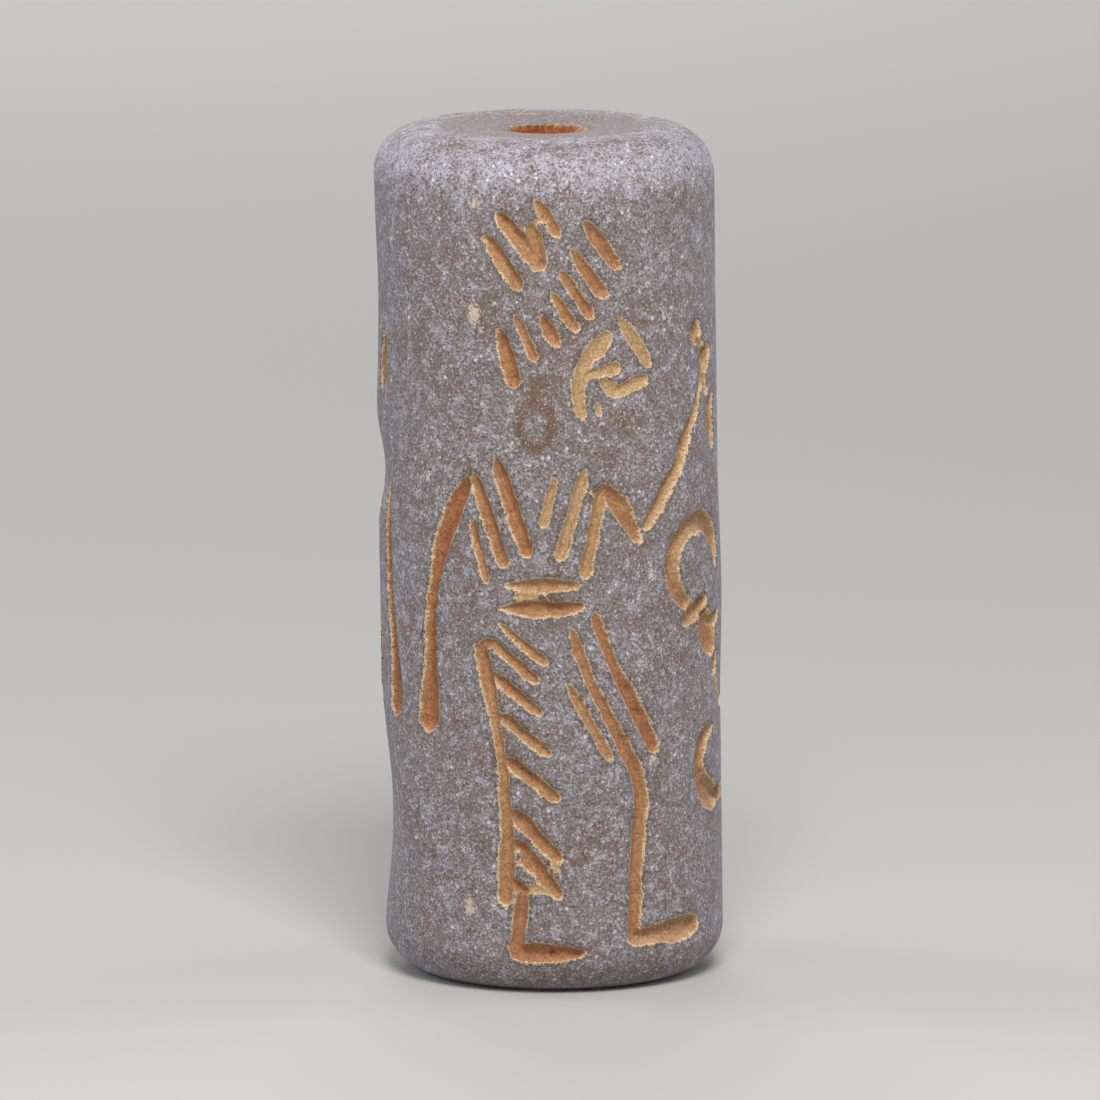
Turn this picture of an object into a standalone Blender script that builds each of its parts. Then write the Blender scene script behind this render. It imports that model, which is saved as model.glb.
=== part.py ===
"""A cylinder seal: a short stone roller, bored from end to end and engraved all round its side.

The engraving is laid out on a flat drawing of the side, as if the stone had been rolled out.
Across runs round the stone from the middle of the front, positive to the viewer's right, and up
runs along it from the underside. The drawing is DRAWING_ROUND units round and DRAWING_TALL units
tall, so one unit is a millimetre on a seal of this size, and the figures stay in proportion on
a longer or thicker one. A stroke is a list of (across, up) points with its widths in units.
"""
import math

import bmesh
import bpy
from mathutils import Vector

MM = 0.001

# The stone
SEAL_LENGTH = 42.6 * MM
SEAL_DIAMETER = 17.0 * MM
EDGE_RADIUS = 2.4 * MM
BORE_DIAMETER = 3.2 * MM
MOUTH_FLARE = 0.35 * MM
MOUTH_DEPTH = 0.9 * MM
# The stone isn't quite true: its top end stands this far to the left of its underside
LEAN = 0.59 * MM

# The burin's cut
GROOVE_DEPTH = 0.45 * MM
DEPTH_PER_WIDTH = 0.55
TIP_WIDTH = 0.4
TIP_LENGTH = 0.8

# The drawing
DRAWING_ROUND = 53.4
DRAWING_TALL = 42.6

# Where the side isn't true: the place and reach of each hollow on the drawing, and its depth.
# The last one is a low swell on the other side.
UNEVEN_PLACES = (
    ((-13.4, 34.3), (5.0, 6.3), 0.15 * MM),
    ((-13.4, 25.4), (4.6, 3.0), 0.38 * MM),
    ((-13.8, 8.2), (5.8, 6.8), 0.50 * MM),
    ((13.4, 19.5), (5.5, 6.0), -0.12 * MM),
)
RINGS_PER_HOLLOW = 4

# How finely the round forms are faceted: a cutter takes a new step for so much of each of these
TURNED_STEPS = 48
EDGE_STEPS = 3
CUTTER_ROUNDNESS = 2
FEWEST_CUTTER_STEPS = 3
CUTTER_STEP_ROUND = 1.9
CUTTER_STEP_LENGTH = 4.0
CUTTER_STEP_TURN = math.radians(18.0)
PATH_SAMPLES = 24

STONE_COLOUR = (0.235, 0.205, 0.2, 1.0)
STONE_ROUGHNESS = 0.72

UNIT = SEAL_LENGTH / DRAWING_TALL
SEAL_RADIUS = SEAL_DIAMETER / 2
BORE_RADIUS = BORE_DIAMETER / 2
MOUTH_RADIUS = BORE_RADIUS + MOUTH_FLARE
END_RADIUS = SEAL_RADIUS - EDGE_RADIUS


def clear_scene():
    for thing in list(bpy.data.objects):
        bpy.data.objects.remove(thing)


def new_collection(name):
    collection = bpy.data.collections.new(name)
    bpy.context.scene.collection.children.link(collection)
    return collection


def stone_material():
    material = bpy.data.materials.new("seal_stone")
    material.use_nodes = True
    shader = material.node_tree.nodes["Principled BSDF"]
    shader.inputs["Base Color"].default_value = STONE_COLOUR
    shader.inputs["Roughness"].default_value = STONE_ROUGHNESS
    shader.inputs["Metallic"].default_value = 0.0
    return material


# The worn surface that the body and every groove share

def lean(height):
    """How far the stone's axis stands to the right at a height above the underside."""
    return LEAN * (0.5 - height / SEAL_LENGTH)


def wear(across, up):
    """How far the side lies inside its true cylinder at a point of the drawing."""
    depth = 0.0
    for place, reach, deepest in UNEVEN_PLACES:
        round_way = (across - place[0] + DRAWING_ROUND / 2) % DRAWING_ROUND - DRAWING_ROUND / 2
        distance = (round_way / reach[0]) ** 2 + ((up - place[1]) / reach[1]) ** 2
        depth += deepest * max(1.0 - distance, 0.0) ** 2
    return depth


def side_radius(height):
    """The radius of the turned side, with its rounded edges, at a height above the underside."""
    from_end = min(height, SEAL_LENGTH - height)
    inside_edge = max(EDGE_RADIUS - from_end, 0.0)
    return END_RADIUS + math.sqrt(max(EDGE_RADIUS ** 2 - inside_edge ** 2, 0.0))


def surface_point(across, up, lift):
    """The point over the worn side at a place of the drawing, lifted along the radius."""
    angle = math.tau * across / DRAWING_ROUND
    height = up * UNIT
    radius = side_radius(height) - wear(across, up) + lift
    return Vector((radius * math.sin(angle) + lean(height), -radius * math.cos(angle), height))


# The body

def side_rings():
    """The heights of the rings down the straight side, close enough for each uneven place."""
    low, high = EDGE_RADIUS, SEAL_LENGTH - EDGE_RADIUS
    spacing = min(reach[1] for _, reach, _ in UNEVEN_PLACES) * 2 * UNIT / RINGS_PER_HOLLOW
    count = math.ceil((high - low) / spacing)
    return [high + (low - high) * ring / count for ring in range(count + 1)]


def body_profile():
    """The half section as (radius, height), down the outer side and back up the bore."""
    points = []
    for step in range(EDGE_STEPS):
        turn = math.pi / 2 * step / EDGE_STEPS
        points.append((END_RADIUS + EDGE_RADIUS * math.sin(turn),
                       SEAL_LENGTH - EDGE_RADIUS + EDGE_RADIUS * math.cos(turn)))
    points += [(SEAL_RADIUS, height) for height in side_rings()]
    for step in range(1, EDGE_STEPS + 1):
        turn = math.pi / 2 * step / EDGE_STEPS
        points.append((END_RADIUS + EDGE_RADIUS * math.cos(turn),
                       EDGE_RADIUS - EDGE_RADIUS * math.sin(turn)))
    points.append((MOUTH_RADIUS, 0.0))
    points.append((BORE_RADIUS, MOUTH_DEPTH))
    points.append((BORE_RADIUS, SEAL_LENGTH - MOUTH_DEPTH))
    points.append((MOUTH_RADIUS, SEAL_LENGTH))
    return points


def turned_body(collection):
    """The bored roller, turned from its half section."""
    outline = bmesh.new()
    corners = [outline.verts.new((radius, 0.0, height)) for radius, height in body_profile()]
    for start, end in zip(corners, corners[1:] + corners[:1]):
        outline.edges.new((start, end))
    mesh = bpy.data.meshes.new("seal_section")
    outline.to_mesh(mesh)
    outline.free()
    body = bpy.data.objects.new("seal_turned", mesh)
    collection.objects.link(body)
    screw = body.modifiers.new("turn", "SCREW")
    screw.axis = "Z"
    screw.steps = TURNED_STEPS
    screw.render_steps = TURNED_STEPS
    screw.use_merge_vertices = True
    screw.merge_threshold = 0.00001
    screw.use_smooth_shade = True
    return body


def as_mesh(source, name, collection):
    """The evaluated object as a mesh object of its own, in place of the source."""
    graph = bpy.context.evaluated_depsgraph_get()
    mesh = bpy.data.meshes.new_from_object(source.evaluated_get(graph))
    result = bpy.data.objects.new(name, mesh)
    result.matrix_world = source.matrix_world
    collection.objects.link(result)
    bpy.data.objects.remove(source)
    return result


def wear_down(body):
    """Leans the turned body and sinks its worn places."""
    for vertex in body.data.vertices:
        radius = math.hypot(vertex.co.x, vertex.co.y)
        if radius > END_RADIUS:
            across = math.atan2(vertex.co.x, -vertex.co.y) / math.tau * DRAWING_ROUND
            share = 1.0 - wear(across, vertex.co.z / UNIT) / radius
            vertex.co.x *= share
            vertex.co.y *= share
        vertex.co.x += lean(vertex.co.z)


# Strokes

def smooth(values, share):
    """A value read from a smooth line through evenly spaced values, at a share of its length."""
    last = len(values) - 1
    if last == 0:
        return values[0]
    index = min(int(share * last), last - 1)
    part = share * last - index
    before, start, end, after = (values[min(max(index + step, 0), last)] for step in (-1, 0, 1, 2))
    return 0.5 * (2 * start + (end - before) * part
                  + (2 * before - 5 * start + 4 * end - after) * part ** 2
                  + (3 * start - before - 3 * end + after) * part ** 3)


def stroke(*path, width):
    """One stroke through the (across, up) points, with one width or one for each share of it."""
    widths = width if isinstance(width, tuple) else (width,)
    return [Vector(point) for point in path], widths


def row(starts, ends, widths, shares=None):
    """Strokes side by side from one guide line to another."""
    first, last = [Vector(point) for point in starts], [Vector(point) for point in ends]
    strokes = []
    for index, width in enumerate(widths):
        share = shares[index] if shares else index / (len(widths) - 1)
        strokes.append(([smooth(first, share), smooth(last, share)], (width,)))
    return strokes


def arc(centre, radius, start, end, width):
    """A curved stroke round a centre, from one angle to another in degrees."""
    steps = 6
    points = []
    for step in range(steps + 1):
        angle = math.radians(start + (end - start) * step / steps)
        points.append((centre[0] + radius * math.cos(angle), centre[1] + radius * math.sin(angle)))
    return stroke(*points, width=width)


def mirrored(strokes, middle):
    """The strokes turned over from left to right about an upright line across the drawing."""
    return [([Vector((2 * middle - point.x, point.y)) for point in path], widths)
            for path, widths in strokes]


# The standing figure

def crest():
    """The rows of strokes of the tall headdress and the hair below it."""
    left = row([(-2.95, 38.1), (-2.3, 39.2), (-0.4, 39.9)],
               [(-1.3, 35.6), (-0.15, 36.65), (0.7, 38.2)], (0.78, 0.9, 0.68))
    fill = stroke((-0.65, 38.6), (-0.25, 36.9), width=0.85)
    right = row([(2.1, 38.75), (0.85, 36.3), (-0.2, 34.1)],
                [(3.75, 36.5), (2.3, 34.1), (0.55, 32.8)],
                (0.72, 0.68, 0.64, 0.58, 0.7), (0.0, 0.3, 0.5, 0.7, 1.0))
    hair = row([(-1.5, 34.2), (-2.3, 33.4)], [(-0.55, 32.0), (-1.6, 30.8)], (0.52, 0.88))
    return left + [fill] + right + hair


def sign():
    """The star-like sign in front of the face."""
    return [
        stroke((3.15, 33.2), (1.9, 31.9), (1.5, 30.4), (1.75, 29.0), width=(0.75, 0.8, 0.75, 0.5)),
        stroke((2.0, 31.3), (3.8, 31.65), width=0.6),
        stroke((2.75, 30.9), (3.4, 30.3), (5.3, 30.75), width=(0.55, 0.75, 0.65)),
        stroke((3.85, 33.95), (5.5, 31.5), width=0.64),
        stroke((2.55, 29.8), (2.65, 29.2), width=0.5),
    ]


def collar():
    """The strokes that fan down from the shoulders to the waist."""
    left = row([(-3.75, 26.1), (-2.6, 27.0)], [(-2.25, 21.7), (-1.05, 22.3)], (0.68, 0.78))
    right = row([(0.35, 26.0), (1.85, 26.4)], [(-0.25, 23.7), (0.55, 22.05)], (0.52, 0.58))
    outer = stroke((2.8, 25.65), (2.3, 24.0), (1.65, 21.15), width=0.66)
    return left + right + [outer, stroke((-3.95, 23.8), (-3.2, 20.8), width=0.48)]


def left_arm():
    return [stroke((-4.15, 25.9), (-5.7, 22.6), (-6.5, 19.4), (-6.65, 16.2), (-6.8, 13.1),
                   width=(0.62, 0.9, 0.78, 1.12, 1.35))]


def right_arm():
    return [stroke((2.95, 25.6), (3.85, 24.1), (4.85, 22.6), width=(0.7, 0.96, 0.45))]


def belt():
    """Two lens-shaped strokes across the waist."""
    return [stroke((left, up), (right, up + 0.05), width=(0.4, width, 0.4))
            for left, right, up, width in ((-2.15, 1.5, 20.7, 0.78), (-2.45, 1.7, 19.55, 0.92))]


def skirt_hem():
    """The long edge of the skirt, down to the knee."""
    return [stroke((-3.6, 17.6), (-2.95, 14.5), (-2.45, 11.2), (-2.3, 8.0), (-2.45, 4.8),
                   width=(0.75, 0.8, 0.58, 0.7, 0.9))]


def fringe():
    """The slanting strokes between the hem and the middle of the skirt."""
    upper = row([(-2.5, 18.75), (-2.95, 17.85)], [(-0.2, 16.85), (-0.65, 15.9)], (0.46, 0.54))
    lower = row([(-2.9, 16.2), (-2.2, 11.95), (-1.9, 7.8)],
                [(-0.45, 14.25), (0.3, 10.0), (0.35, 5.1)],
                (0.6, 0.58, 0.62, 0.66, 0.68), (0.0, 0.27, 0.5, 0.78, 1.0))
    return upper + lower


def skirt_folds():
    """The two folds beside the leg that steps forward."""
    return [
        stroke((0.9, 15.7), (3.0, 11.9), width=0.52),
        stroke((2.3, 19.3), (3.2, 16.7), (4.55, 14.2), (5.6, 12.2), width=(0.52, 0.62, 0.88, 0.72)),
    ]


def near_leg():
    """The leg that steps forward, from the belt to the heel, and its foot."""
    return [
        stroke((1.1, 18.5), (2.1, 15.7), (3.6, 12.8), (4.65, 10.3), (4.35, 6.5), (4.15, 2.9),
               width=(0.5, 0.58, 0.74, 0.86, 0.76, 0.78)),
        stroke((4.0, 2.9), (6.2, 2.98), (8.5, 2.9), width=(0.95, 1.2, 0.4)),
    ]


def far_leg():
    """The shin below the hem and its foot."""
    return [
        stroke((-1.55, 5.4), (-1.75, 3.6), (-1.95, 2.1), width=0.78),
        stroke((-2.1, 2.2), (-0.8, 2.25), (1.45, 2.2), width=(0.8, 1.0, 0.35)),
    ]


def skirt_and_legs():
    return skirt_hem() + fringe() + skirt_folds() + near_leg() + far_leg()


def standing_figure():
    return crest() + sign() + collar() + left_arm() + right_arm() + belt() + skirt_and_legs()


# The beast that rears up to the figure's right, with its curled horn and the staff above it

def staff():
    return [
        stroke((8.75, 33.2), (9.35, 32.4), width=1.1),
        stroke((10.3, 31.7), (9.6, 30.0), (8.5, 27.9), (6.95, 25.6), (5.3, 23.3),
               width=(0.9, 0.72, 0.68, 0.72, 0.6)),
        stroke((10.8, 29.1), (11.2, 27.4), width=0.8),
    ]


def rearing_beast():
    horn = arc((9.05, 21.1), 2.17, -10.0, 243.0, (0.7, 1.0, 0.9, 0.95, 0.7))
    muzzle = stroke((7.7, 18.6), (9.7, 19.05), width=0.75)
    ear = stroke((10.1, 18.2), (12.6, 18.5), width=0.6)
    neck = stroke((9.0, 18.2), (10.9, 16.4), (12.7, 13.6), width=(0.8, 1.3, 1.8))
    flank = stroke((12.3, 14.6), (14.8, 12.2), (18.0, 10.6), width=(1.7, 2.2, 1.9))
    raised_hoof = arc((10.65, 10.95), 1.72, 95.0, 270.0, (0.7, 0.85, 0.85, 0.8))
    raised_leg = stroke((10.5, 9.25), (12.9, 9.3), (14.0, 11.6), width=(0.75, 0.8, 0.9))
    tail = stroke((17.6, 11.0), (20.3, 9.9), (20.8, 6.6), width=0.6)
    hind_legs = [stroke((16.9 - gap, 10.9), (18.3 - gap, 6.4), (17.3 - gap, 2.9), (15.7 - gap, 2.7),
                        width=(1.1, 0.85, 0.7, 0.5)) for gap in (0.0, 2.2)]
    return [horn, muzzle, ear, neck, flank, raised_hoof, raised_leg, tail] + hind_legs


# The back of the seal, which is plainer: a crescent moon, a tree and a second figure

def moon():
    return [arc((17.0, 31.4), 2.1, 200.0, 340.0, (0.45, 0.95, 0.45)),
            stroke((17.0, 34.0), (17.0, 33.2), width=0.7)]


def tree():
    """A straight trunk with pairs of rising branches."""
    middle, foot, top, pairs = 25.2, 3.0, 35.0, 5
    strokes = [stroke((middle, top), (middle, foot), width=0.7)]
    for pair in range(pairs):
        up = foot + 6.0 + pair * (top - foot - 7.5) / (pairs - 1)
        reach = 2.6 - 0.22 * pair
        for side in (-1.0, 1.0):
            strokes.append(stroke((middle + side * reach, up + 1.7), (middle + side * 0.3, up),
                                  width=0.6))
    return strokes


def second_figure():
    """The figure that stands behind the first, turned the other way."""
    facing_away = mirrored(collar() + right_arm() + belt() + skirt_and_legs(), -7.8)
    cap = row([(-14.2, 33.6), (-17.2, 33.6)], [(-13.7, 30.8), (-16.8, 30.8)], (0.62, 0.62, 0.62))
    arm = stroke((-10.25, 24.9), (-10.55, 21.9), (-10.3, 18.7), (-9.65, 16.0), (-9.6, 13.5),
                 width=(0.66, 0.72, 0.76, 1.05, 1.1))
    ribbon = stroke((-10.7, 32.4), (-10.85, 30.0), width=0.6)
    return facing_away + cap + [arm, ribbon]


# Cutting

def cutter_steps(path):
    """The length of a stroke, and how many steps its cutter needs to follow it."""
    points = [smooth(path, sample / PATH_SAMPLES) for sample in range(PATH_SAMPLES + 1)]
    runs = [end - start for start, end in zip(points, points[1:])]
    length = sum(run.length for run in runs)
    turn = sum(first.angle(second) for first, second in zip(runs, runs[1:]))
    round_way = sum(abs(run.x) for run in runs)
    needed = (length / CUTTER_STEP_LENGTH, turn / CUTTER_STEP_TURN, round_way / CUTTER_STEP_ROUND)
    return length, max(FEWEST_CUTTER_STEPS, len(path), math.ceil(max(needed)))


def cutter_curve(path, widths, name):
    """The tube along one stroke, sunk into the side so that the cut has its width there."""
    length, steps = cutter_steps(path)
    curve = bpy.data.curves.new(name, "CURVE")
    curve.dimensions = "3D"
    curve.bevel_depth = 1.0
    curve.bevel_resolution = CUTTER_ROUNDNESS
    curve.use_fill_caps = True
    flat_sides = 4 + 2 * CUTTER_ROUNDNESS
    spline = curve.splines.new("POLY")
    spline.points.add(steps)
    for step, point in enumerate(spline.points):
        share = 0.5 - 0.5 * math.cos(math.pi * step / steps)
        from_tip = min(share, 1.0 - share) * length
        fullness = math.sin(math.pi / 2 * min(from_tip / TIP_LENGTH, 1.0))
        width = smooth(widths, share) * UNIT * (TIP_WIDTH + (1.0 - TIP_WIDTH) * fullness)
        depth = min(width * DEPTH_PER_WIDTH, GROOVE_DEPTH)
        radius = (width ** 2 / 4 + depth ** 2) / (2 * depth)
        place = smooth(path, share)
        point.co = (*surface_point(place.x, place.y, radius - depth), 1.0)
        point.radius = radius / math.cos(math.pi / flat_sides)
    return curve


def groove_cutter(path, widths, name, collection):
    """The closed cutter for one stroke."""
    source = bpy.data.objects.new(name, cutter_curve(path, widths, name))
    collection.objects.link(source)
    cutter = as_mesh(source, name, collection)
    shell = bmesh.new()
    shell.from_mesh(cutter.data)
    bmesh.ops.remove_doubles(shell, verts=shell.verts, dist=0.000001)
    bmesh.ops.recalc_face_normals(shell, faces=shell.faces)
    shell.to_mesh(cutter.data)
    shell.free()
    cutter.hide_render = True
    cutter.display_type = "WIRE"
    return cutter


def engrave(body, motifs):
    """Cuts every stroke of every motif out of the body."""
    collection = new_collection("cutters")
    cutters = [groove_cutter(path, widths, f"{motif}_cutter_{number}", collection)
               for motif, strokes in motifs.items()
               for number, (path, widths) in enumerate(strokes)]
    for cutter in cutters:
        cut = body.modifiers.new(cutter.name, "BOOLEAN")
        cut.operation = "DIFFERENCE"
        cut.solver = "EXACT"
        cut.object = cutter


def build():
    clear_scene()
    parts = new_collection("cylinder_seal")
    seal = as_mesh(turned_body(parts), "seal", parts)
    wear_down(seal)
    seal.data.materials.clear()
    seal.data.materials.append(stone_material())
    engrave(seal, {
        "standing_figure": standing_figure(),
        "staff": staff(),
        "beast": rearing_beast(),
        "moon": moon(),
        "tree": tree(),
        "second_figure": second_figure(),
    })


build()
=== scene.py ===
# %% [markdown]
# # An engraved cylinder seal
# A cylinder seal is a small stone roller. Rolled over damp clay, it leaves the picture that is cut
# into its side. This one is a grey, fine-grained stone with a bore from end to end, and its
# strokes have filled with ochre earth.
#
# ## The imported model
# The CAD model is loaded first and stays fixed. It gives the seal's true size, and its box is
# kept, which gives the stone its length.

# %% Load the imported model
import math
from collections import namedtuple

import bmesh
import bpy
import numpy as np
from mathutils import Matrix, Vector, noise


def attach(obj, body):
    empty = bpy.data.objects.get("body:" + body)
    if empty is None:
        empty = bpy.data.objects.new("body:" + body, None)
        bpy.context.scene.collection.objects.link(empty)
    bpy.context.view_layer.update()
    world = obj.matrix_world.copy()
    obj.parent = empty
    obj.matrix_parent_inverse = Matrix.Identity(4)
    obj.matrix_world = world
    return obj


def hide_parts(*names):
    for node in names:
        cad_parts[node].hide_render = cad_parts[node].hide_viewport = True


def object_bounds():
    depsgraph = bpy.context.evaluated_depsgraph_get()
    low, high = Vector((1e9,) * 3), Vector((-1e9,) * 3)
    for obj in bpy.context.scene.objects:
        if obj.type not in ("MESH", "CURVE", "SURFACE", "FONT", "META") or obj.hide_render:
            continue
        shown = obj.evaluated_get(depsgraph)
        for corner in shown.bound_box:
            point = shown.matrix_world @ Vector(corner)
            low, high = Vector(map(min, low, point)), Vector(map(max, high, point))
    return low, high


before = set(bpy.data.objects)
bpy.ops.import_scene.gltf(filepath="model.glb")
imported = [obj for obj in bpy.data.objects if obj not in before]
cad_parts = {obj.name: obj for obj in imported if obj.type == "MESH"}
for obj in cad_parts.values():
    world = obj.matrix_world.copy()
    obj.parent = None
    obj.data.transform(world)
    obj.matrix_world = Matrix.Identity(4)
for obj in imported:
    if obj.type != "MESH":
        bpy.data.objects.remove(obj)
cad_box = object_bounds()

MM = 0.001
print("CAD box in mm:", [[round(value / MM, 3) for value in corner] for corner in cad_box])

# %% [markdown]
# ## Sizes
# The stone's sizes are the ones that the solid was turned to. The picture is laid out on a flat
# drawing of the side, as if the stone had been rolled out: across runs round the stone from the
# middle of the front, up runs along it from the underside. One unit is a millimetre at this size.

# %% Sizes of the stone and of its drawing
SEAL_LENGTH = cad_box[1].z - cad_box[0].z
SEAL_RADIUS = 8.5 * MM
EDGE_RADIUS = 2.4 * MM
BORE_RADIUS = 1.6 * MM
MOUTH_RADIUS = BORE_RADIUS + 0.35 * MM
MOUTH_DEPTH = 0.9 * MM
END_RADIUS = SEAL_RADIUS - EDGE_RADIUS
# The stone isn't quite true: its top end stands this far to the left of its underside
LEAN = 0.59 * MM

DRAWING_ROUND = 53.4
DRAWING_TALL = 42.6
UNIT = SEAL_LENGTH / DRAWING_TALL

# Where the side isn't true: the place and reach of each hollow on the drawing, and its depth.
# The last one is a low swell on the other side, so its depth is below nothing.
UNEVEN_PLACES = (
    ((-13.4, 34.3), (5.0, 6.3), 0.15 * MM),
    ((-13.4, 25.4), (4.6, 3.0), 0.38 * MM),
    ((-13.8, 8.2), (5.8, 6.8), 0.50 * MM),
    ((13.4, 19.5), (5.5, 6.0), -0.12 * MM),
)

# The burin's cut, in units of the drawing. A wider stroke is deeper, but only down to the groove
# depth, and the strokes of the sign stay shallower than the others.
GROOVE_DEPTH = 0.45
SIGN_DEPTH = 0.2
DEPTH_PER_WIDTH = 0.55
# The tool goes in at a slant, so a stroke starts in a longer point than it ends in
TIP_WIDTH = 0.45
ENTRY_LENGTH = 0.9
EXIT_LENGTH = 0.5
print(f"one unit of the drawing is {UNIT / MM:.4f} mm")

# %% [markdown]
# ## The strokes
# The picture on a real seal is cut with a hand tool, stroke by stroke. So each motif here is a
# short list of strokes: a path, how wide the tool cut along it, how pale its filling is and how
# deep it may go. Strokes that stand side by side are made together as a row between two guide
# lines, which keeps their rhythm.

# %% Ways to draw a stroke
# A short stroke is leaf-shaped: it widens from where the tool goes in
LEAF = (0.88, 1.05, 1.04)
# One that leaves another stroke is widest there, and runs out thinner
WEDGE = (1.25, 1.05, 0.8)
ARC_STEPS = 6
Stroke = namedtuple("Stroke", "path widths pale deepest")


def smooth(values, share):
    """A value read from a smooth line through evenly spaced values, at a share of its length."""
    last = len(values) - 1
    if last == 0:
        return values[0]
    index = min(int(share * last), last - 1)
    part = share * last - index
    # A Catmull-Rom curve, which goes through every value and bends evenly between them
    before, start, end, after = (values[min(max(index + step, 0), last)] for step in (-1, 0, 1, 2))
    return 0.5 * (2 * start + (end - before) * part
                  + (2 * before - 5 * start + 4 * end - after) * part ** 2
                  + (3 * start - before - 3 * end + after) * part ** 3)


def stroke(*path, width, pale=0.3, deepest=GROOVE_DEPTH):
    """One stroke through the (across, up) points, with one width or one for each share of it."""
    widths = width if isinstance(width, tuple) else (width,)
    return Stroke([np.array(point, dtype=float) for point in path], widths, pale, deepest)


def row(starts, ends, widths, shares=None, pale=0.3, shape=LEAF):
    """Strokes side by side from one guide line to another."""
    first = [np.array(point, dtype=float) for point in starts]
    last = [np.array(point, dtype=float) for point in ends]
    strokes = []
    for index, width in enumerate(widths):
        share = shares[index] if shares else index / (len(widths) - 1)
        widths_along = tuple(width * part for part in shape)
        strokes.append(stroke(smooth(first, share), smooth(last, share), width=widths_along,
                              pale=pale))
    return strokes


def arc(centre, radius, start, end, width, pale=0.3):
    """A curved stroke round a centre, from one angle to another in degrees."""
    points = []
    for step in range(ARC_STEPS + 1):
        angle = math.radians(start + (end - start) * step / ARC_STEPS)
        points.append((centre[0] + radius * math.cos(angle), centre[1] + radius * math.sin(angle)))
    return stroke(*points, width=width, pale=pale)


def mirrored(strokes, middle):
    """The strokes turned over from left to right about an upright line across the drawing."""
    return [one._replace(path=[np.array((2 * middle - point[0], point[1])) for point in one.path])
            for one in strokes]


# %% [markdown]
# ## The standing figure
# A robed figure stands in profile on the front: the rows of short strokes are its tall headdress
# and hair, the lens shapes its belt, and the slanting ones the fringe of its skirt. A star-like
# sign stands before it, cut shallower, so the pale stone shows through its filling. The figure
# could be traced as one outline, but the cutter made none, so each stroke is its own.

# %% Headdress, hair and sign
def crest():
    """The rows of strokes of the tall headdress and the hair below it."""
    left = row([(-2.95, 38.1), (-2.3, 39.2), (-0.4, 39.9)],
               [(-1.3, 35.6), (-0.15, 36.65), (0.7, 38.2)], (0.74, 0.86, 0.66), pale=0.45)
    fill = stroke((-0.65, 38.6), (-0.25, 36.9), width=0.85, pale=0.55)
    join = stroke((-0.55, 38.75), (0.1, 39.1), width=0.42, pale=0.8, deepest=0.16)
    right = row([(2.1, 38.75), (0.85, 36.3), (-0.2, 34.1)],
                [(3.75, 36.5), (2.3, 34.1), (0.55, 32.8)],
                (0.72, 0.68, 0.64, 0.58, 0.7), (0.0, 0.3, 0.5, 0.7, 1.0), pale=0.35)
    hair = row([(-1.5, 34.2), (-2.3, 33.4)], [(-0.55, 32.0), (-1.6, 30.8)], (0.52, 0.8))
    return left + [fill, join] + right + hair


def sign():
    """The star-like sign in front of the face."""
    main = (1.35, 0.78, 0.76, 0.66, 0.5)
    strokes = [
        stroke((3.1, 33.05), (2.12, 32.03), (1.69, 30.93), (1.62, 29.91), (1.8, 29.1), width=main,
               pale=0.85),
        stroke((2.0, 31.25), (3.65, 31.5), width=(0.6, 0.62, 0.85), pale=0.9),
        stroke((2.85, 30.85), (3.45, 30.25), width=(0.75, 0.8, 0.7), pale=1.1),
        stroke((3.35, 30.25), (5.1, 30.78), width=(0.95, 0.76, 0.74, 0.95), pale=0.85),
        stroke((3.8, 33.95), (4.6, 32.8), (5.5, 31.5), width=(0.5, 0.72, 0.68), pale=0.8),
        stroke((2.55, 29.8), (2.65, 29.2), width=0.5, pale=0.7),
    ]
    return [one._replace(deepest=SIGN_DEPTH) for one in strokes]


print(len(crest()), "strokes in the headdress and hair,", len(sign()), "in the sign")


# %% Collar, arms and belt
def collar():
    """The strokes that fan down from the shoulders to the waist."""
    left = row([(-3.75, 26.1), (-2.6, 27.0)], [(-2.25, 21.7), (-1.05, 22.3)], (0.68, 0.78))
    right = row([(0.35, 26.0), (1.85, 26.4)], [(-0.25, 23.7), (0.55, 22.05)], (0.52, 0.58),
                pale=0.85)
    outer = stroke((2.8, 25.55), (2.45, 23.97), (1.8, 21.15), width=(0.95, 0.66, 0.7), pale=0.6)
    return left + right + [outer, stroke((-3.95, 23.8), (-3.2, 20.8), width=0.48)]


def left_arm():
    """The arm that hangs down at the side and swells towards its hand."""
    return [stroke((-4.15, 25.9), (-5.7, 22.6), (-6.5, 19.4), (-6.65, 16.2), (-6.8, 13.4),
                   width=(0.62, 1.05, 1.0, 0.8, 0.74, 0.76, 0.86, 1.45, 1.3), pale=0.15)]


def right_arm():
    """The upper arm that slants out from the shoulder to the foot of the staff."""
    return [stroke((2.95, 25.5), (3.62, 24.66), (4.12, 23.8), (4.8, 22.7),
                   width=(0.85, 1.0, 1.1, 0.8, 0.4), pale=0.4)]


def belt():
    """Two lens-shaped strokes across the waist."""
    return [stroke((left, up), (right, up + 0.05), width=(0.4, width, 0.4), pale=pale)
            for left, right, up, width, pale in ((-2.15, 1.5, 20.7, 0.78, 0.6),
                                                 (-2.45, 1.7, 19.55, 0.92, 0.35))]


upper_body = collar() + left_arm() + right_arm() + belt()
print(len(upper_body), "strokes from the shoulders to the belt")


# %% Skirt, legs and feet
def skirt_hem():
    """The long edge of the skirt, down to the knee."""
    return [stroke((-3.6, 17.6), (-2.95, 14.5), (-2.45, 11.2), (-2.3, 8.0), (-2.45, 4.8),
                   width=(0.75, 0.82, 0.62, 0.56, 0.62, 0.74, 0.92, 0.8), pale=0.45)]


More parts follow.
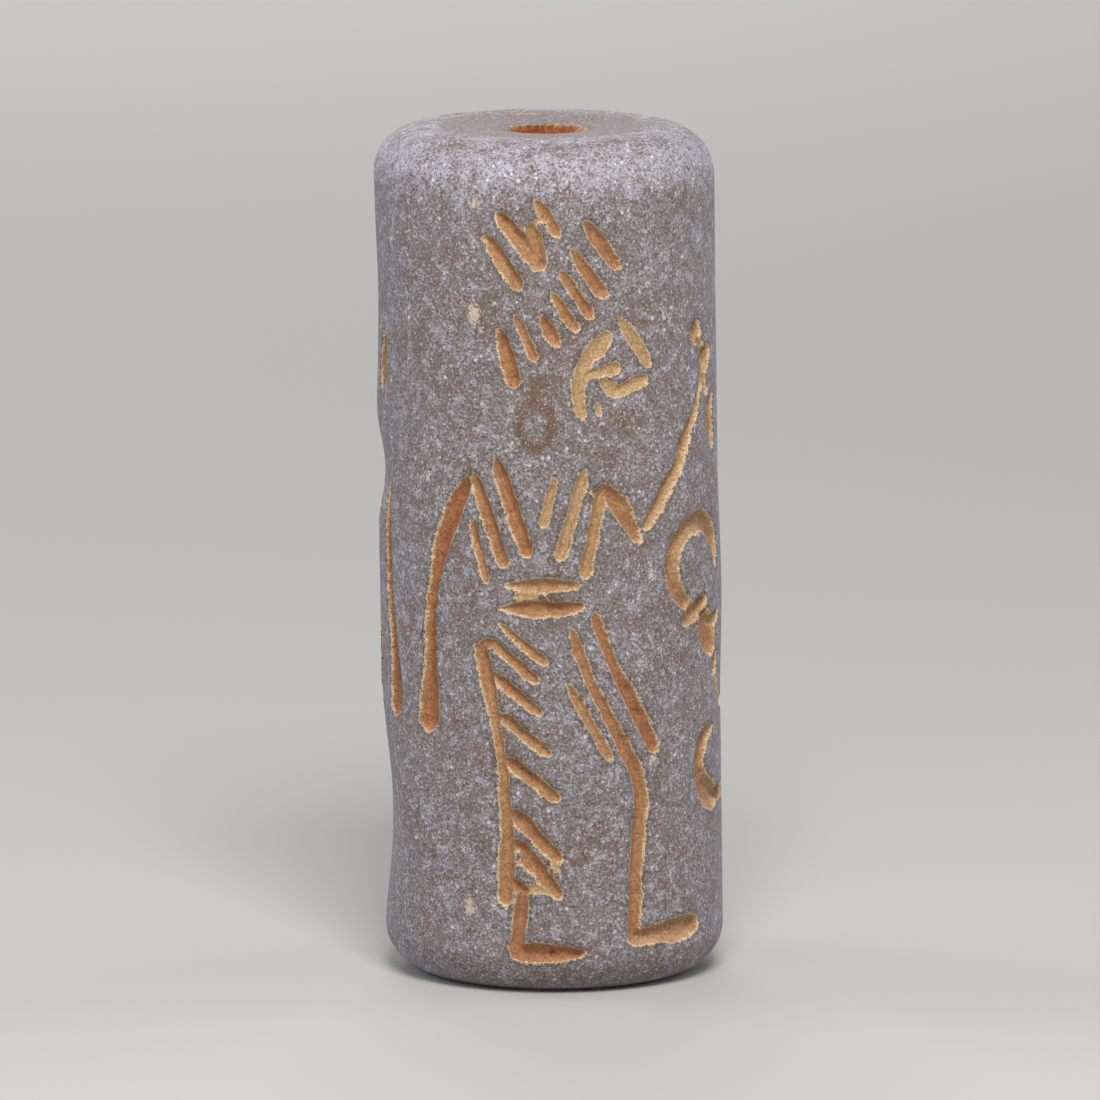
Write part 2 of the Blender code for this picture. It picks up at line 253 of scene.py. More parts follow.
def fringe():
    """The slanting strokes between the hem and the middle of the skirt."""
    upper = row([(-2.5, 18.75), (-2.95, 17.85)], [(-0.2, 16.85), (-0.65, 15.9)], (0.46, 0.54),
                pale=0.35)
    lower = row([(-2.9, 16.2), (-2.2, 11.95), (-1.9, 7.8)],
                [(-0.45, 14.25), (0.3, 10.0), (0.35, 5.1)],
                (0.6, 0.6, 0.7, 0.76, 0.85), (0.0, 0.27, 0.5, 0.78, 1.0), pale=0.4,
                shape=WEDGE)
    return upper + lower


def skirt_folds():
    """The two folds beside the leg that steps forward."""
    return [
        stroke((0.9, 15.7), (3.0, 11.9), width=0.54, pale=0.5),
        stroke((2.3, 19.3), (3.2, 16.7), (4.55, 14.2), (5.6, 12.2),
               width=(0.52, 0.62, 0.88, 0.72), pale=0.25),
    ]


def near_leg():
    """The leg that steps forward, from the belt to the heel, and its foot."""
    return [
        stroke((1.1, 18.5), (2.1, 15.7), (3.6, 12.8), (4.65, 10.3), (4.35, 6.5), (4.15, 2.9),
               width=(0.5, 0.58, 0.74, 0.86, 0.76, 0.78), pale=0.35),
        stroke((4.0, 2.8), (6.2, 2.95), (8.4, 3.05), width=(0.95, 0.95, 1.3, 0.95), pale=0.6),
    ]


def far_leg():
    """The shin below the hem and its foot."""
    return [
        stroke((-1.55, 5.4), (-1.75, 3.6), (-1.95, 2.1), width=0.78, pale=0.35),
        stroke((-2.1, 2.2), (-0.8, 2.25), (1.45, 2.2), width=(0.85, 1.05, 0.6), pale=0.2),
    ]


def skirt_and_legs():
    """All the strokes below the belt."""
    return skirt_hem() + fringe() + skirt_folds() + near_leg() + far_leg()


def slips():
    """Where the tool broke through from one stroke to the next, shallower than the strokes."""
    return [
        stroke((-1.6, 20.2), (-0.7, 20.1), width=0.75, pale=1.0, deepest=0.1),
        stroke((-3.8, 17.5), (-2.8, 17.9), width=0.5, pale=0.35),
        stroke((-1.95, 6.8), (-0.9, 6.75), width=0.3, pale=0.8, deepest=0.2),
        stroke((-2.25, 5.95), (-1.4, 5.3), width=0.8, deepest=0.4),
        stroke((-0.05, 6.95), (0.3, 6.3), width=0.42, pale=1.2, deepest=0.07),
        stroke((-1.5, 5.6), (0.1, 5.35), width=0.5, pale=1.1, deepest=0.14),
    ]


def standing_figure():
    """The whole figure on the front, with the sign before its face."""
    return crest() + sign() + upper_body + skirt_and_legs() + slips()


print(len(standing_figure()), "strokes in the standing figure")

# %% [markdown]
# ## The beast and the staff
# Round the right side a horned beast rears up towards the figure, with its head turned under the
# curl of its horn, and a staff slants above it. Curls could be drawn point by point, but an arc
# with a centre and a radius keeps them as round as the cutter's turn of the hand made them.

# %% Staff and rearing beast
def staff():
    """The slanting staff: its head, its neck, the shaft and the splinters beside them."""
    shaft = (0.6, 0.4, 0.58, 0.7, 0.88, 0.76, 0.84, 0.74, 0.7)
    return [
        stroke((9.22, 33.3), (9.12, 32.9), (9.05, 32.5), width=(0.75, 1.2, 1.4), pale=0.45),
        stroke((9.35, 32.45), (9.9, 31.6), width=0.6, pale=0.7, deepest=0.25),
        stroke((10.5, 31.8), (9.9, 30.9), width=(1.2, 1.4, 0.9), pale=0.75),
        stroke((9.9, 31.1), (9.4, 29.9), (9.05, 29.0), (8.4, 28.1), (7.85, 27.2), (7.3, 26.25),
               (6.55, 25.25), (5.85, 24.3), (5.15, 23.4), width=shaft, pale=0.7),
        stroke((9.85, 30.9), (10.05, 30.1), (10.25, 29.5), width=0.45, pale=0.8, deepest=0.2),
        stroke((11.2, 29.3), (10.65, 28.6), (10.75, 27.9), (11.25, 26.7),
               width=(0.8, 1.0, 1.0, 0.7), pale=0.6),
    ]


def rearing_beast():
    """The beast's horned head and throat, its body, its legs and its tail."""
    horn = arc((9.05, 21.1), 2.17, -10.0, 243.0, (0.5, 1.1, 1.15, 1.05, 1.0, 1.05, 0.8), pale=0.6)
    muzzle = stroke((7.7, 18.3), (9.7, 19.25), width=(0.7, 0.9, 0.75), pale=0.5)
    joins = [stroke((8.15, 19.25), (8.6, 18.9), width=0.75, pale=1.0, deepest=0.15),
             stroke((9.3, 18.95), (9.45, 18.3), width=0.85, pale=0.9, deepest=0.2)]
    ear = stroke((10.0, 17.9), (11.6, 18.3), width=(0.9, 0.7, 0.5), pale=0.6)
    neck = stroke((9.75, 18.4), (9.8, 17.8), (10.15, 17.25), (10.5, 16.8), (10.6, 16.4),
                  width=(1.6, 1.85, 1.6, 1.0, 0.7), pale=0.4)
    throat = [stroke((11.4, 16.35), (10.95, 15.8), (10.75, 15.25), width=(0.6, 1.0, 0.6),
                     pale=0.4),
              stroke((11.0, 15.3), (11.3, 14.6), (11.7, 14.0), (12.6, 13.6), (14.2, 13.4),
                     width=(0.4, 0.55, 0.6, 0.6, 0.7), pale=0.9, deepest=0.1)]
    flank = stroke((14.3, 13.3), (15.6, 11.9), (18.0, 10.6), width=(1.7, 2.2, 1.9))
    raised_hoof = arc((10.65, 10.95), 1.72, 95.0, 270.0, (0.6, 1.0, 1.0, 1.5, 1.8), pale=0.5)
    raised_leg = stroke((10.5, 9.25), (12.9, 9.3), (14.0, 11.6), width=(0.75, 0.8, 0.9))
    tail = stroke((17.6, 11.0), (20.3, 9.9), (20.8, 6.6), width=0.6)
    hind_legs = [stroke((16.9 - gap, 10.9), (18.3 - gap, 6.4), (17.3 - gap, 2.9), (15.7 - gap, 2.7),
                        width=(1.1, 0.85, 0.7, 0.5), pale=0.25) for gap in (0.0, 2.2)]
    head = [horn, muzzle, ear, neck] + joins + throat
    return head + [flank, raised_hoof, raised_leg, tail] + hind_legs


print(len(staff()), "strokes in the staff,", len(rearing_beast()), "in the beast")

# %% [markdown]
# ## The back
# The far side is plainer and quieter: a crescent moon, a tree with pairs of branches, and a
# second figure. It could be drawn anew, but the same cutter used the same strokes again, so it
# repeats the first one's, turned the other way.

# %% Moon, tree and second figure
def moon():
    """A crescent that opens upwards, with a short stroke above it."""
    return [arc((17.0, 31.4), 2.1, 200.0, 340.0, (0.45, 0.95, 0.45)),
            stroke((17.0, 34.0), (17.0, 33.2), width=0.7)]


def branched_tree():
    """A straight trunk with pairs of rising branches, each pair shorter than the one below."""
    middle = 25.2
    foot = 3.0
    top = 35.0
    pairs = 5
    lowest_pair = foot + 6.0
    pair_gap = (top - foot - 7.5) / (pairs - 1)
    strokes = [stroke((middle, top), (middle, foot), width=0.7, pale=0.1)]
    for pair in range(pairs):
        up = lowest_pair + pair * pair_gap
        reach = 2.6 - 0.22 * pair
        for side in (-1.0, 1.0):
            tip = (middle + side * reach, up + 1.7)
            joint = (middle + side * 0.3, up)
            strokes.append(stroke(tip, joint, width=0.6, pale=0.25))
    return strokes


def second_figure():
    """The figure that stands behind the first, turned the other way."""
    turning_line = -7.8
    # This figure's collar lacks the short outer stroke
    body = collar()[:-1] + right_arm() + belt() + skirt_and_legs()
    facing_away = mirrored(body, turning_line)
    cap = row([(-14.2, 33.6), (-17.2, 33.6)], [(-13.7, 30.8), (-16.8, 30.8)], (0.62, 0.62, 0.62))
    arm = stroke((-10.25, 24.9), (-10.5, 21.9), (-10.2, 18.7), (-9.75, 16.0), (-9.75, 13.8),
                 width=(0.66, 0.68, 0.7, 0.74, 0.8, 0.94, 1.3, 1.4), pale=0.15)
    ribbon = stroke((-10.7, 32.4), (-10.9, 31.0), (-11.0, 29.7), width=(0.7, 1.1, 0.8), pale=0.4)
    return facing_away + cap + [arm, ribbon]


drawing = standing_figure() + staff() + rearing_beast()
drawing += moon() + branched_tree() + second_figure()
print(len(drawing), "strokes are drawn")

# %% [markdown]
# ## The turned stone
# The stone was ground to a roller, its edges were rounded and it was bored. A cylinder with a hole
# cut through it would do, but its faces would be long and uneven. So a half section is turned
# round the axis instead. The section starts as eight corners, four at each end: the bore, its
# flared mouth, the ring where the mouth is frayed, and the rim. A vertex bevel rounds the two
# outer ones, and the edges are divided, most finely round the mouths, so that the surface can be
# carved later.

# %% Turn the body
COARSE_GRAIN = 0.38 * MM
FRAYED_RING = 0.8 * MM
FRAYED_RADIUS = MOUTH_RADIUS + FRAYED_RING
# How long the section's edges may be, out to each radius
LONGEST_EDGES = ((BORE_RADIUS, 2.0 * MM), (MOUTH_RADIUS, 0.12 * MM),
                 (FRAYED_RADIUS, 0.1 * MM), (SEAL_RADIUS, COARSE_GRAIN))
EDGE_SEGMENTS = 10
# Radii that differ by less than this count as the same
SAME = 0.01 * MM


def half_section():
    """The closed half section of the roller, from its bore to its side."""
    section = bmesh.new()
    low = [(BORE_RADIUS, MOUTH_DEPTH), (MOUTH_RADIUS, 0.0), (FRAYED_RADIUS, 0.0),
           (SEAL_RADIUS, 0.0)]
    high = [(radius, SEAL_LENGTH - height) for radius, height in reversed(low)]
    corners = [section.verts.new((radius, 0.0, height)) for radius, height in low + high]
    for start, end in zip(corners, corners[1:] + corners[:1]):
        section.edges.new((start, end))
    bmesh.ops.bevel(section, geom=[corners[3], corners[4]], offset=EDGE_RADIUS,
                    offset_type="OFFSET", segments=EDGE_SEGMENTS, profile=0.5, affect="VERTICES",
                    material=-1)
    for edge in list(section.edges):
        outer = max(vertex.co.x for vertex in edge.verts)
        longest = next(length for radius, length in LONGEST_EDGES if outer < radius + SAME)
        cuts = math.ceil(edge.calc_length() / longest) - 1
        if cuts > 0:
            bmesh.ops.subdivide_edges(section, edges=[edge], cuts=cuts)
    return section


stone = half_section()
spin_steps = round(math.tau * SEAL_RADIUS / COARSE_GRAIN)
bmesh.ops.spin(stone, geom=stone.verts[:] + stone.edges[:], cent=(0.0, 0.0, 0.0),
               axis=(0.0, 0.0, 1.0), dvec=(0.0, 0.0, 0.0), angle=math.tau, steps=spin_steps,
               use_merge=True, use_normal_flip=False, use_duplicate=False)
bmesh.ops.recalc_face_normals(stone, faces=stone.faces)
print(f"turned in {spin_steps} steps: {len(stone.faces)} faces")

# %% [markdown]
# ## How far every place is from a stroke
# Each stroke could be cut with a boolean, but that leaves sharp, clean edges. Here the whole
# carving comes from one question, asked for many points at once: how far inside or outside the
# nearest groove's edge is this place? NumPy answers it for arrays of points. The same answer says
# where the mesh needs finer faces, how deep to sink it, and later where the stone is stained.

# %% Measure the distance to the strokes
SAMPLE_SPACING = 0.14
FEWEST_SAMPLES = 6
# The power of the groove's section: 2 is a round bottom, and more makes it flatter
FLOOR_FLATNESS = 2.4
# No half width counts as less than this, since the section is divided by it
THINNEST = 0.01
# Further from a stroke than this, nothing depends on the distance
FAR_AWAY = 1.0


def wrapped(difference):
    """A distance round the stone, taken the short way."""
    return (difference + DRAWING_ROUND / 2) % DRAWING_ROUND - DRAWING_ROUND / 2


def followed(one):
    """Points along a stroke, with the half width and the depth of its cut at each of them."""
    length = sum(np.linalg.norm(end - start) for start, end in zip(one.path, one.path[1:]))
    samples = max(FEWEST_SAMPLES, math.ceil(length / SAMPLE_SPACING))
    shares = np.linspace(0.0, 1.0, samples + 1)
    points = np.array([smooth(one.path, share) for share in shares])
    widths = np.array([smooth(one.widths, share) for share in shares])
    from_tip = np.minimum(shares / ENTRY_LENGTH, (1.0 - shares) / EXIT_LENGTH) * length
    fullness = np.sin(np.pi / 2 * np.minimum(from_tip, 1.0))
    widths = widths * (TIP_WIDTH + (1.0 - TIP_WIDTH) * fullness)
    return points, widths / 2, np.minimum(widths * DEPTH_PER_WIDTH, one.deepest)


def carved(across, up, ragged, chatter):
    """How far each place is inside a groove's edge, its depth and how pale its filling is."""
    inside = np.full(len(across), -FAR_AWAY)
    depth = np.zeros(len(across))
    pale = np.zeros(len(across))
    for one in drawing:
        points, halves, deeps = followed(one)
        middle = points.mean(axis=0)
        points = points - middle
        reach = np.abs(points).max(axis=0) + halves.max() + FAR_AWAY
        place = np.column_stack((wrapped(across - middle[0]), up - middle[1]))
        near = np.flatnonzero((np.abs(place) < reach).all(axis=1))
        run = np.diff(points, axis=0)
        offset = place[near][:, None, :] - points[None, :-1, :]
        along = np.clip((offset * run).sum(axis=2) / (run ** 2).sum(axis=1), 0.0, 1.0)
        gap = np.linalg.norm(offset - along[:, :, None] * run, axis=2)
        half = halves[:-1] + along * np.diff(halves)
        best = (half - gap).argmax(axis=1)
        each = np.arange(len(near))
        half = half[each, best] + ragged[near]
        gap = gap[each, best]
        deep = deeps[best] * chatter[near]
        off_middle = np.clip(gap / np.maximum(half, THINNEST), 0.0, 1.0)
        sunk = deep * (1.0 - off_middle ** FLOOR_FLATNESS)
        closer = half - gap > inside[near]
        inside[near] = np.maximum(inside[near], half - gap)
        pale[near] = np.where(closer, one.pale, pale[near])
        depth[near] = np.maximum(depth[near], sunk)
    return inside, depth, pale


def on_drawing(places):
    """The (across, up) of points in space, before the stone leans."""
    across = np.arctan2(places[:, 0], -places[:, 1]) / math.tau * DRAWING_ROUND
    return across, places[:, 2] / UNIT


# %% [markdown]
# ## Finer faces where the tool went
# A uniform mesh fine enough for the strokes would be needlessly heavy. The faces near a stroke
# are divided once, and those at its edge and inside it once more, which brings them down to about
# a tenth of a millimetre. Stains and specks of chalk get finer faces too, since their edges are
# as fine as the faces that carry them.

# %% Divide the faces near the strokes
MARGINS = (0.45, 0.16)
SIDE_START = END_RADIUS + 0.2 * MM
# The place of each small mark and its reach
SMALL_MARKS = ((-0.6, 28.8, 1.5), (-0.5, 31.0, 1.1), (3.7, 25.3, 0.8), (4.0, 28.7, 0.5),
               (-3.5, 39.7, 0.6), (-3.65, 34.2, 0.6), (-4.4, 4.5, 0.6), (8.6, 40.7, 0.4),
               (-6.6, 25.8, 0.4), (5.4, 21.0, 0.5), (5.35, 11.8, 0.4))

for margin in MARGINS:
    side_faces = [face for face in stone.faces
                  if face.calc_center_median().xy.length > SIDE_START]
    centres = np.array([face.calc_center_median() for face in side_faces])
    across, up = on_drawing(centres)
    none = np.zeros(len(centres))
    inside, _, _ = carved(across, up, ragged=none, chatter=none + 1.0)
    wanted = inside > -margin
    for mark_across, mark_up, reach in SMALL_MARKS:
        wanted |= np.hypot(wrapped(across - mark_across), up - mark_up) < reach
    chosen = [side_faces[index] for index in np.flatnonzero(wanted)]
    edges = list(dict.fromkeys(edge for face in chosen for edge in face.edges))
    bmesh.ops.subdivide_edges(stone, edges=edges, cuts=1, use_grid_fill=True,
                              use_single_edge=True)
    print(f"within {margin} mm of a stroke: {len(chosen)} faces divided")

stone_mesh = bpy.data.meshes.new("seal_stone")
stone.to_mesh(stone_mesh)
stone.free()
triangles = sum(len(polygon.vertices) - 2 for polygon in stone_mesh.polygons)
print(f"{triangles} triangles")

# %% [markdown]
# ## Carving
# Each point of the side is pushed in by the depth of the groove above it. The groove's section is
# nearly an arc of a circle, a little flatter on its floor, as the rounded tip of the tool leaves
# it. A hand-cut edge is never smooth: the stone crumbles along it. Bump in the material would only
# pretend to that, so the mesh itself is ragged. The half width swells and shrinks with two noises,
# one of a millimetre and one of less than half, and here and there a spur has chipped out. The
# depth chatters a little along the stroke, and the floor is rough.

# %% Noise for the ragged edges
# Rows of the size in mm, the amount in units of the drawing and the seed of each noise
RAGGED = ((1.0, 0.08, 1), (0.42, 0.045, 2))
SPUR_SIZE = 0.4
SPUR_START = 0.25
SPUR = 0.3
CHATTER_SIZE = 0.5
CHATTER = 0.16
SEED_SHIFT = (17.3, 5.1, 9.7)


def noise_field(places, size, seed):
    """Smooth noise from about -1 to 1 at each place, with waves of a size in mm."""
    scale = 1.0 / (size * MM)
    shift = Vector([seed * amount for amount in SEED_SHIFT])
    return np.array([noise.noise(Vector(place) * scale + shift) for place in places])


def layered_noise(places, layers):
    """Noises of several sizes added up."""
    return sum(amount * noise_field(places, size, seed) for size, amount, seed in layers)


places = np.empty(len(stone_mesh.vertices) * 3)
stone_mesh.vertices.foreach_get("co", places)
places = places.reshape(-1, 3)
radii = np.hypot(places[:, 0], places[:, 1])
across, up = on_drawing(places)
side = radii > END_RADIUS + SAME

ragged = layered_noise(places, RAGGED)
ragged += SPUR * np.maximum(noise_field(places, SPUR_SIZE, 13) - SPUR_START, 0.0)
chatter = 1.0 + CHATTER * noise_field(places, CHATTER_SIZE, 9)
print(f"edges move by {ragged.min():.2f} to {ragged.max():.2f} mm")

# %% Sink the strokes
FLOOR_GRAIN = 0.22
FLOOR_ROUGHNESS = 0.035
# The floor is rough from this far inside the groove's edge
FLOOR_START = 0.15

inside, depth, pale = carved(across, up, ragged, chatter)
floor = np.clip(inside / FLOOR_START, 0.0, 1.0)
rough_floor = FLOOR_ROUGHNESS * noise_field(places, FLOOR_GRAIN, 4) * floor
depth = np.maximum(depth + rough_floor, 0.0)
inside[~side] = -FAR_AWAY
depth[~side] = 0.0
print(f"deepest stroke {depth.max():.3f} mm, {np.count_nonzero(inside > 0)} points lie in strokes")

# %% [markdown]
# ## Islands and pits
# In a few places the tool left a sliver of the old surface standing between two strokes, and in
# others a grain fell out. They are too few to leave to a noise, so each has its own place. Both
# are small ellipses on the drawing: an island lifts the floor back to the surface, and a pit sinks
# below it.

# %% Islands and pits
ISLAND_SLOPE = 0.12
PIT_SLOPE = 0.08
# Each row is a place and two half widths, and for a pit its depth too
ISLANDS = ((-0.1, 38.62, 0.24, 0.2), (-1.76, 7.1, 0.1, 0.22), (-1.3, 6.12, 0.36, 0.16))
PITS = ((-0.1, 2.2, 0.13, 0.1, 0.3), (4.75, 4.3, 0.12, 0.2, 0.2), (5.35, 36.9, 0.14, 0.12, 0.12))


def ellipse(across, up, middle_across, middle_up, wide, tall):
    """How far each place is inside an ellipse of these half widths, in units of the drawing."""
    distance = np.hypot(wrapped(across - middle_across) / wide, (up - middle_up) / tall)
    return (1.0 - distance) * min(wide, tall)


for island in ISLANDS:
    above = ellipse(across, up, *island)
    inside = np.where(side, np.minimum(inside, -above), inside)
    depth *= np.clip(-above / ISLAND_SLOPE, 0.0, 1.0)
for *pit, pit_depth in PITS:
    hole = ellipse(across, up, *pit)
    depth += np.where(side, pit_depth * np.clip(hole / PIT_SLOPE, 0.0, 1.0), 0.0)
print(f"{len(ISLANDS)} islands and {len(PITS)} pits")

# %% [markdown]
# ## Wear
# The side was never quite round and has worn since: broad hollows on its left, a low swell on its
# right, and waves too slight to see except in the way that light slides over them. A texture that
# pushes the surface would do for the waves, but not for hollows that each have a place. The
# hollows and the swell are the solid's own, and the waves only take stone away, so the stone keeps
# inside the solid's box. The mouths of the bore are frayed in the same step.

# %% Wear the side and fray the mouths
WAVE_SIZE = 2.6
WAVE_DEPTH = 0.035 * MM
MOUTH_RAGGED = 0.09 * MM
# The size in mm, the share and the seed of each noise that frays the mouths
MOUTH_FRAY = ((0.6, 1.0, 6), (0.25, 0.6, 7))


def wear(across, up):
    """How far the side lies inside its true cylinder at places of the drawing."""
    total = np.zeros(len(across))
    for place, reach, deepest in UNEVEN_PLACES:
        distance = (wrapped(across - place[0]) / reach[0]) ** 2 + ((up - place[1]) / reach[1]) ** 2
        total += deepest * np.maximum(1.0 - distance, 0.0) ** 2
    return total


waves = WAVE_DEPTH * (1.0 + noise_field(places, WAVE_SIZE, 5)) / 2
sunk = np.where(side, wear(across, up) + depth * UNIT + waves, 0.0)

from_end = np.minimum(places[:, 2], SEAL_LENGTH - places[:, 2])
near_end = np.clip(1.0 - from_end / MOUTH_DEPTH, 0.0, 1.0)
mouth_edge = 1.0 - np.clip(np.abs(radii - MOUTH_RADIUS) / FRAYED_RING, 0.0, 1.0)
mouth_edge *= near_end
fray = layered_noise(places, MOUTH_FRAY)
sunk -= MOUTH_RAGGED * mouth_edge * fray
print(f"the surface moves in by up to {sunk.max() / MM:.2f} mm")

# %% [markdown]
# ## Lean, mouth and dish
# The seal isn't quite upright, and use has worn its top end: the bore's mouth there stands a
# little to the right of the stone's own middle and nearer to the viewer, in a shallow dish. A
# lattice could bend the stone, but the exact size of each move matters here, so every point is
# moved by its own share of it.

# %% Shape the ends
MOUTH_SHIFT = (0.18 * MM, -0.35 * MM)
DISH_RADIUS = 4.5 * MM
DISH_DEPTH = 0.17 * MM
END_WAVE_SIZE = 1.3
# Only points this near to the top's level take part in its waves
END_BAND = 0.3 * MM

share = (radii - sunk) / radii
shaped = places.copy()
shaped[:, 0] *= share
shaped[:, 1] *= share
shaped[:, 0] += LEAN * (0.5 - places[:, 2] / SEAL_LENGTH)
top = places[:, 2] > SEAL_LENGTH / 2
moved = top * np.where(radii > MOUTH_RADIUS, 1.0 - (radii - MOUTH_RADIUS) / FRAYED_RING,
                       1.0 - from_end / MOUTH_DEPTH)
moved = np.clip(moved, 0.0, 1.0)
shaped[:, 0] += MOUTH_SHIFT[0] * moved
shaped[:, 1] += MOUTH_SHIFT[1] * moved
dish = np.clip((DISH_RADIUS - radii) / (DISH_RADIUS - MOUTH_RADIUS), 0.0, 1.0)
# A share that starts and ends level, so that the dish has no edge
dish = dish ** 2 * (3.0 - 2.0 * dish) * near_end
shaped[:, 2] -= DISH_DEPTH * dish * top
end_waves = WAVE_DEPTH * (1.0 + noise_field(places, END_WAVE_SIZE, 8)) / 2
end_zone = np.clip((SEAL_RADIUS - radii) / EDGE_RADIUS, 0.0, 1.0) * (from_end < END_BAND)
shaped[:, 2] -= np.where(top, end_waves * end_zone, 0.0)
stone_mesh.vertices.foreach_set("co", shaped.ravel())
stone_mesh.polygons.foreach_set("use_smooth", np.ones(len(stone_mesh.polygons), dtype=bool))
stone_mesh.update()
print(f"the shaped stone is {(shaped[:, 2].max() - shaped[:, 2].min()) / MM:.3f} mm tall")

# %% [markdown]
# ## What the finish needs to know
# The finish could be painted on as a picture, but a picture has only so many pixels and this one
# is also seen from close by. So each point carries a few numbers, and the material mixes its
# colours from them: how far inside a groove's edge it lies, how deep it is, how pale its filling
# is, how brown and how chalky it is, and how much wear and painted light it has: a paler top edge,
# partly worn and partly a painted highlight, and darker flat ends, a painted shade.

# %% Stains and chalk on the side
# A faint brown ring stands between the hair and the shoulders
RING_MIDDLE = (-0.6, 28.8)
RING_SIZE = (0.85, 1.18)
RING_WIDTH = 0.34
RING_STRENGTH = 1.2
RING_FLECK_SIZE = 0.8
RING_FLECKS = 0.9
# Each spot is a place, two half widths and a strength
BROWN_SOFTNESS = 0.8
BROWN_PATCHES = ((-0.55, 30.2, 0.75, 0.95, 0.6), (3.7, 25.3, 0.6, 0.3, 0.6),
                 (-1.6, 39.4, 1.3, 0.6, 0.35), (-2.9, 34.0, 0.7, 0.9, 0.3),
                 (-1.7, 27.6, 1.6, 0.5, 0.2), (2.9, 27.2, 1.0, 0.6, 0.25))
OCHRE_SOFTNESS = 0.2
OCHRE_SPOTS = ((4.0, 28.7, 0.22, 0.2, 0.9),)
CHALK_SOFTNESS = 0.6
CHALK_SPOTS = ((-3.5, 39.7, 0.4, 0.36, 0.95), (-3.65, 34.2, 0.45, 0.7, 1.0),
               (-4.4, 4.5, 0.4, 0.75, 0.9), (8.6, 40.7, 0.25, 0.25, 1.0),
               (-6.6, 25.8, 0.25, 0.3, 1.0), (5.4, 21.0, 0.3, 0.25, 1.0),
               (5.35, 11.8, 0.25, 0.3, 1.0), (3.4, 29.3, 0.9, 0.35, 0.55),
               (-5.2, 38.9, 0.25, 0.25, 0.8), (4.6, 20.0, 0.3, 0.3, 0.7))


def spots(rows, softness):
    """The strongest of several soft-edged elliptical spots at every point of the side."""
    strongest = np.zeros(len(across))
    for *place, strength in rows:
        soft = np.clip(0.5 + ellipse(across, up, *place) / softness, 0.0, 1.0)
        strongest = np.maximum(strongest, strength * soft * side)
    return strongest


ring = np.hypot((across - RING_MIDDLE[0]) / RING_SIZE[0], (up - RING_MIDDLE[1]) / RING_SIZE[1])
ring = np.clip(1.0 - np.abs(ring - 1.0) * min(RING_SIZE) / RING_WIDTH, 0.0, 1.0) * side
ring *= 1.0 + RING_FLECKS * noise_field(places, RING_FLECK_SIZE, 12)
stain = np.maximum(spots(BROWN_PATCHES, BROWN_SOFTNESS), RING_STRENGTH * ring)
stain = np.maximum(stain, spots(OCHRE_SPOTS, OCHRE_SOFTNESS))
chalk = spots(CHALK_SPOTS, CHALK_SOFTNESS)
print(f"{np.count_nonzero(stain)} points are stained, {np.count_nonzero(chalk)} are chalky")

# %% Earth in the bore
# The filling starts along a wandering line round the mouth, and covers the bore below the lip
MOUTH_SLOPE = 0.6
MOUTH_LINE = 0.03
MOUTH_WANDER = 0.16
LIP_HEIGHT = 0.05 * MM
BORE_INSIDE = 0.4

in_mouth = MOUTH_SLOPE * (MOUTH_RADIUS - radii) / MM - MOUTH_LINE + MOUTH_WANDER * fray
bore_inside = np.where(from_end > LIP_HEIGHT, BORE_INSIDE, in_mouth)
inside = np.where(side, inside, np.clip(bore_inside, -FAR_AWAY, FAR_AWAY))
depth = np.where(side, depth, GROOVE_DEPTH)
print(f"{np.count_nonzero(~side & (inside > 0))} points of the bore and its mouths are filled")

# %% Teeth and streaks at the mouth
# Teeth of pale stone hang from the mouth's edge into the bore, and brown streaks run out from it.
# Both follow one noise, read on the lip, so that they stand side by side like a comb's.
COMB_SIZE = 0.13
STREAK_LENGTH = 0.7 * MM
STREAKS = 0.4
# How pale a tooth is at the lip, how much that fades with each mm, and what the comb adds
TEETH = 1.3
TEETH_FADE = 5.0
TEETH_COMB = 2.2
TEETH_RANGE = (-0.4, 1.2)

lip = places * np.column_stack((MOUTH_RADIUS / radii, MOUTH_RADIUS / radii, 0.0 * radii))
comb = noise_field(lip, COMB_SIZE, 11)
streaks = np.clip(1.0 - (radii - MOUTH_RADIUS) / STREAK_LENGTH, 0.0, 1.0) * (STREAKS + comb)
teeth = TEETH - TEETH_FADE * from_end / MM + TEETH_COMB * comb
pale = np.where(side, pale, np.clip(teeth, *TEETH_RANGE))
print(f"streaks reach a strength of {streaks.max():.2f}")

# %% Earth, chalk, wear and painted light on the ends
# A patch of earth lies at the back of the top end, in mm from the axis
PATCH_MIDDLE = (-1.0, 4.3)
PATCH_REACH = (1.5, 1.0)
PATCH_SHARPNESS = 1.5
PATCH_STAIN = 0.9
PATCH_CHALK = 0.7
END_STAIN = 0.22
# The rounded top edge is paler, partly rubbed by handling and partly a painted highlight,
# and the flat ends are darker, a painted shade
WORN_LIT_EDGE_HEIGHT = 41.4
WORN_LIT_EDGE_REACH = 2.2
DARK_START = 0.5
DARKEST = 1.3

patch_across = (shaped[:, 0] / MM - PATCH_MIDDLE[0]) / PATCH_REACH[0]
patch_back = (shaped[:, 1] / MM - PATCH_MIDDLE[1]) / PATCH_REACH[1]
from_patch = np.hypot(patch_across, patch_back)
patch = np.clip(PATCH_SHARPNESS - PATCH_SHARPNESS * from_patch, 0.0, 1.0)
stain = np.where(side, stain, END_STAIN + PATCH_STAIN * patch + np.clip(streaks, 0.0, 1.0))
chalk = np.where(side, chalk, PATCH_CHALK * patch * top)
# Painted light: raised on the rounded top edge as wear and painted highlight, lowered on the flat
# ends as painted shade
wear_and_painted_light = np.clip(1.0 - np.abs(up - WORN_LIT_EDGE_HEIGHT) / WORN_LIT_EDGE_REACH, 0.0, 1.0)
wear_and_painted_light -= np.clip((END_RADIUS - radii) / MM - DARK_START, 0.0, DARKEST)
print(f"{np.count_nonzero(patch)} points of the ends lie in the patch")

